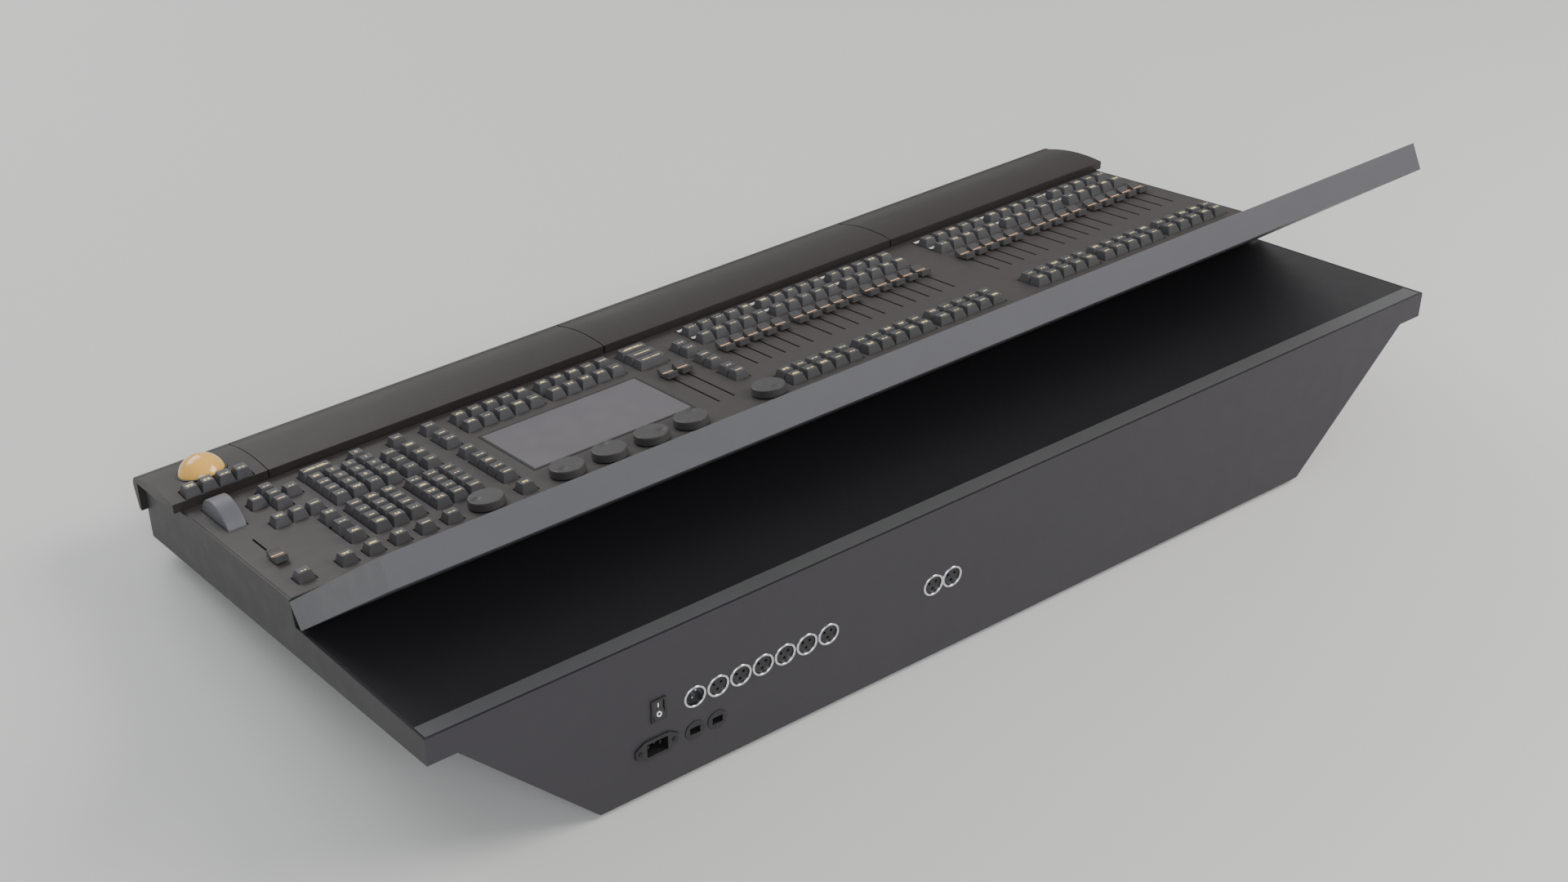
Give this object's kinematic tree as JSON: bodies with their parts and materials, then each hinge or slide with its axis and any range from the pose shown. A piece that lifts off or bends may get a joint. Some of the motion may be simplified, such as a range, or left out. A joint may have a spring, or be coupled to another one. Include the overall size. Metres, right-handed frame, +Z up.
{
  "type": "lighting control desk",
  "caption": "Wedge-shaped lighting control desk with a hinged screen wing, banks of faders and keys, encoder discs, a level wheel, a trackball, an armrest and rear sockets.",
  "frame": {"origin": "under the middle of the desk, on the surface that its feet stand on", "axes": "+Z up, +Y to the rear with the connectors, +X to the operator's right with the trackball"},
  "size_m": [1.324, 0.673, 0.3694],
  "materials": {
    "case_paint": "satin",
    "panel_paint": "satin",
    "trim_metal": "satin",
    "wing_paint": "satin",
    "armrest_grain": "matte",
    "socket_plastic": "satin",
    "screen_surface": "gloss",
    "label_film": "satin",
    "foot_rubber": "matte",
    "connector_chrome": "polished",
    "bare_metal": "satin",
    "module_metal": "satin",
    "module_plastic": "matte",
    "circuit_board": "satin",
    "key_plastic": "satin",
    "fader_plastic": "satin",
    "encoder_plastic": "matte",
    "wheel_plastic": "satin",
    "rocker_plastic": "gloss",
    "ball_resin": "gloss"
  },
  "bodies": {
    "desk": {"base_tub": "case_paint", "slab_floor": "case_paint", "rear_panel": "case_paint", "side_panel_left": "case_paint", "side_panel_right": "case_paint", "front_panel": "case_paint", "hinge_rail": "case_paint", "control_panel": "panel_paint", "deck_plate": "panel_paint", "deck_trim": "trim_metal", "armrest_pads": "armrest_grain", "trackball_module": "armrest_grain", "trackball_cup": "socket_plastic", "xlr_cores": "socket_plastic", "network_sockets": "socket_plastic", "mains_inlet": "socket_plastic", "switch_frame": "socket_plastic", "command_screen": "screen_surface", "label_strips": "label_film", "feet": "foot_rubber", "xlr_rings": "connector_chrome", "xlr_male_ring": "connector_chrome", "fader_units": "bare_metal", "encoder_units": "bare_metal", "wheel_axle": "bare_metal", "tub_electronics": "module_metal", "command_module": "module_plastic", "key_boards": "circuit_board"},
    "screen_wing": {"wing_shell": "wing_paint", "wing_bezel": "wing_paint", "wing_screens": "screen_surface", "wing_modules": "module_plastic", "hinge_pins": "bare_metal"},
    "encoder_1": {"encoder_1": "encoder_plastic"},
    "encoder_2": {"encoder_2": "encoder_plastic"},
    "encoder_3": {"encoder_3": "encoder_plastic"},
    "encoder_4": {"encoder_4": "encoder_plastic"},
    "encoder_5": {"encoder_5": "encoder_plastic"},
    "encoder_6": {"encoder_6": "encoder_plastic"},
    "fader_bank_1": {"fader_bank_1": "fader_plastic"},
    "fader_bank_2": {"fader_bank_2": "fader_plastic"},
    "fader_bank_3": {"fader_bank_3": "fader_plastic"},
    "fader_bank_4": {"fader_bank_4": "fader_plastic"},
    "fader_bank_5": {"fader_bank_5": "fader_plastic"},
    "fader_bank_6": {"fader_bank_6": "fader_plastic"},
    "level_wheel": {"level_wheel": "wheel_plastic"},
    "trackball": {"trackball": "ball_resin"},
    "power_rocker": {"power_rocker": "rocker_plastic"},
    "grand_fader": {"grand_fader": "fader_plastic"},
    "crossfader_a": {"crossfader_a": "fader_plastic"},
    "crossfader_b": {"crossfader_b": "fader_plastic"},
    "function_keys": {"function_keys": "key_plastic"},
    "command_keys": {"command_keys": "key_plastic"},
    "numeric_keys": {"numeric_keys": "key_plastic"},
    "cursor_keys": {"cursor_keys": "key_plastic"},
    "screen_keys": {"screen_keys": "key_plastic"},
    "crossfade_keys": {"crossfade_keys": "key_plastic"},
    "executor_upper_keys": {"executor_upper_keys": "key_plastic"},
    "executor_lower_keys": {"executor_lower_keys": "key_plastic"},
    "trackball_keys": {"trackball_keys": "key_plastic"}
  },
  "joints": [
    {"name": "wing_hinge", "type": "hinge", "parent": "desk", "child": "screen_wing", "pos_m": [0, 0.0655, 0.17494], "axis": [1, 0, 0], "range_deg": [-30.5, 35]},
    {"name": "encoder_1_turn", "type": "hinge", "parent": "desk", "child": "encoder_1", "pos_m": [0.4165, 0.02807, 0.17126], "axis": [0, -0.2062, 0.9785], "continuous": true},
    {"name": "encoder_2_turn", "type": "hinge", "parent": "desk", "child": "encoder_2", "pos_m": [0.3196, 0.02905, 0.17147], "axis": [0, -0.2062, 0.9785], "continuous": true},
    {"name": "encoder_3_turn", "type": "hinge", "parent": "desk", "child": "encoder_3", "pos_m": [0.267, 0.02905, 0.17147], "axis": [0, -0.2062, 0.9785], "continuous": true},
    {"name": "encoder_4_turn", "type": "hinge", "parent": "desk", "child": "encoder_4", "pos_m": [0.214, 0.02905, 0.17147], "axis": [0, -0.2062, 0.9785], "continuous": true},
    {"name": "encoder_5_turn", "type": "hinge", "parent": "desk", "child": "encoder_5", "pos_m": [0.163, 0.02905, 0.17147], "axis": [0, -0.2062, 0.9785], "continuous": true},
    {"name": "encoder_6_turn", "type": "hinge", "parent": "desk", "child": "encoder_6", "pos_m": [0.059, 0.02807, 0.17126], "axis": [0, -0.2062, 0.9785], "continuous": true},
    {"name": "level_wheel_turn", "type": "hinge", "parent": "desk", "child": "level_wheel", "pos_m": [0.626, -0.16172, 0.1141], "axis": [1, 0, 0], "continuous": true},
    {"name": "trackball_roll", "type": "hinge", "parent": "desk", "child": "trackball", "pos_m": [0.6065, -0.26631, 0.11645], "axis": [1, 0, 0], "continuous": true},
    {"name": "power_rocker_tilt", "type": "hinge", "parent": "desk", "child": "power_rocker", "pos_m": [0.4095, 0.33154, 0.1055], "axis": [1, 0, 0], "range_deg": [-16, 0]},
    {"name": "fader_bank_1_slide", "type": "slide", "parent": "desk", "child": "fader_bank_1", "axis": [0, 0.9785, 0.2062], "range_m": [0, 0.06]},
    {"name": "fader_bank_2_slide", "type": "slide", "parent": "desk", "child": "fader_bank_2", "axis": [0, 0.9785, 0.2062], "range_m": [0, 0.06]},
    {"name": "fader_bank_3_slide", "type": "slide", "parent": "desk", "child": "fader_bank_3", "axis": [0, 0.9785, 0.2062], "range_m": [0, 0.06]},
    {"name": "fader_bank_4_slide", "type": "slide", "parent": "desk", "child": "fader_bank_4", "axis": [0, 0.9785, 0.2062], "range_m": [0, 0.06]},
    {"name": "fader_bank_5_slide", "type": "slide", "parent": "desk", "child": "fader_bank_5", "axis": [0, 0.9785, 0.2062], "range_m": [0, 0.06]},
    {"name": "fader_bank_6_slide", "type": "slide", "parent": "desk", "child": "fader_bank_6", "axis": [0, 0.9785, 0.2062], "range_m": [0, 0.06]},
    {"name": "crossfader_a_slide", "type": "slide", "parent": "desk", "child": "crossfader_a", "axis": [0, 0.9785, 0.2062], "range_m": [0, 0.1]},
    {"name": "crossfader_b_slide", "type": "slide", "parent": "desk", "child": "crossfader_b", "axis": [0, 0.9785, 0.2062], "range_m": [0, 0.1]},
    {"name": "grand_fader_slide", "type": "slide", "parent": "desk", "child": "grand_fader", "axis": [0, -0.9785, -0.2062], "range_m": [0, 0.06]},
    {"name": "function_keys_press", "type": "slide", "parent": "desk", "child": "function_keys", "axis": [0, 0.2062, -0.9785], "range_m": [0, 0.003], "stiffness_N_per_m": 1500, "springref_m": -0.002},
    {"name": "command_keys_press", "type": "slide", "parent": "desk", "child": "command_keys", "axis": [0, 0.2062, -0.9785], "range_m": [0, 0.003], "stiffness_N_per_m": 2000, "springref_m": -0.002},
    {"name": "numeric_keys_press", "type": "slide", "parent": "desk", "child": "numeric_keys", "axis": [0, 0.2062, -0.9785], "range_m": [0, 0.003], "stiffness_N_per_m": 1500, "springref_m": -0.002},
    {"name": "cursor_keys_press", "type": "slide", "parent": "desk", "child": "cursor_keys", "axis": [0, 0.2062, -0.9785], "range_m": [0, 0.003], "stiffness_N_per_m": 1000, "springref_m": -0.002},
    {"name": "screen_keys_press", "type": "slide", "parent": "desk", "child": "screen_keys", "axis": [0, 0.2062, -0.9785], "range_m": [0, 0.003], "stiffness_N_per_m": 2000, "springref_m": -0.002},
    {"name": "crossfade_keys_press", "type": "slide", "parent": "desk", "child": "crossfade_keys", "axis": [0, 0.2062, -0.9785], "range_m": [0, 0.003], "stiffness_N_per_m": 1200, "springref_m": -0.002},
    {"name": "executor_upper_keys_press", "type": "slide", "parent": "desk", "child": "executor_upper_keys", "axis": [0, 0.2062, -0.9785], "range_m": [0, 0.003], "stiffness_N_per_m": 4000, "springref_m": -0.002},
    {"name": "executor_lower_keys_press", "type": "slide", "parent": "desk", "child": "executor_lower_keys", "axis": [0, 0.2062, -0.9785], "range_m": [0, 0.003], "stiffness_N_per_m": 4000, "springref_m": -0.002},
    {"name": "trackball_keys_press", "type": "slide", "parent": "desk", "child": "trackball_keys", "axis": [0, 0.0893, -0.996], "range_m": [0, 0.003], "stiffness_N_per_m": 800, "springref_m": -0.002}
  ]
}
